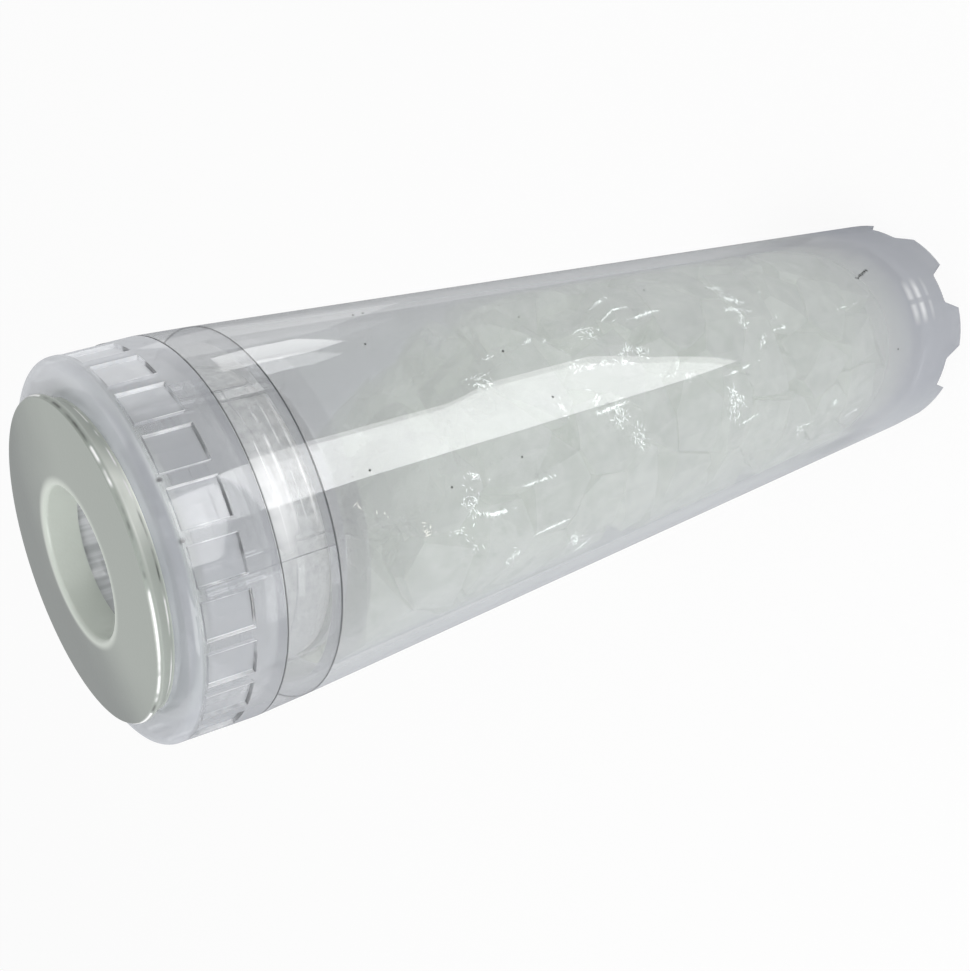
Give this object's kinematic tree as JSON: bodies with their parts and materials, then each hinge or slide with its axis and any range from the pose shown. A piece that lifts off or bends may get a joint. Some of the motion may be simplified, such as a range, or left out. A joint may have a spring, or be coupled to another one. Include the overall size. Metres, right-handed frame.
{
  "type": "anti-scale filter cartridge",
  "caption": "Clear round water filter cartridge filled with glassy crystals, toothed foot, screw cap with soft gasket and central outlet.",
  "frame": {"origin": "centre of the toothed foot, on the surface that the cartridge stands on", "axes": "+Z along the cartridge from the foot to the cap; -Y is the side that the picture shows"},
  "size_m": [0.07, 0.07, 0.248],
  "materials": {
    "clear_plastic": "clear polished moulding",
    "gasket": "milky translucent, satin",
    "felt": "rough pressed fibre",
    "crystal": "broken glassy facets"
  },
  "bodies": {
    "canister_body": {"canister": "clear_plastic", "neck_collar": "clear_plastic", "upper_strainer": "clear_plastic", "upper_felt_pad": "felt", "lower_felt_pad": "felt", "crystals_layer_01": "crystal", "crystals_layer_02": "crystal", "crystals_layer_03": "crystal", "crystals_layer_04": "crystal", "crystals_layer_05": "crystal", "crystals_layer_06": "crystal", "crystals_layer_07": "crystal", "crystals_layer_08": "crystal", "crystals_layer_09": "crystal", "crystals_layer_10": "crystal", "crystals_layer_11": "crystal", "crystals_layer_12": "crystal"},
    "cap_lift": {"cap_seal_ring": "gasket"},
    "cap": {"screw_cap": "clear_plastic", "top_gasket": "gasket"}
  },
  "joints": [
    {"name": "cap_rise", "type": "slide", "parent": "canister_body", "child": "cap_lift", "axis": [0, 0, 1], "range_m": [0, 0.01]},
    {"name": "cap_turn", "type": "hinge", "parent": "cap_lift", "child": "cap", "pos_m": [0, 0, 0.237], "axis": [0, 0, 1], "range_deg": [0, 900]}
  ],
  "couplings": [
    {"joint": "cap_rise", "follows": "cap_turn", "m_per_rad": 0.00063662}
  ]
}
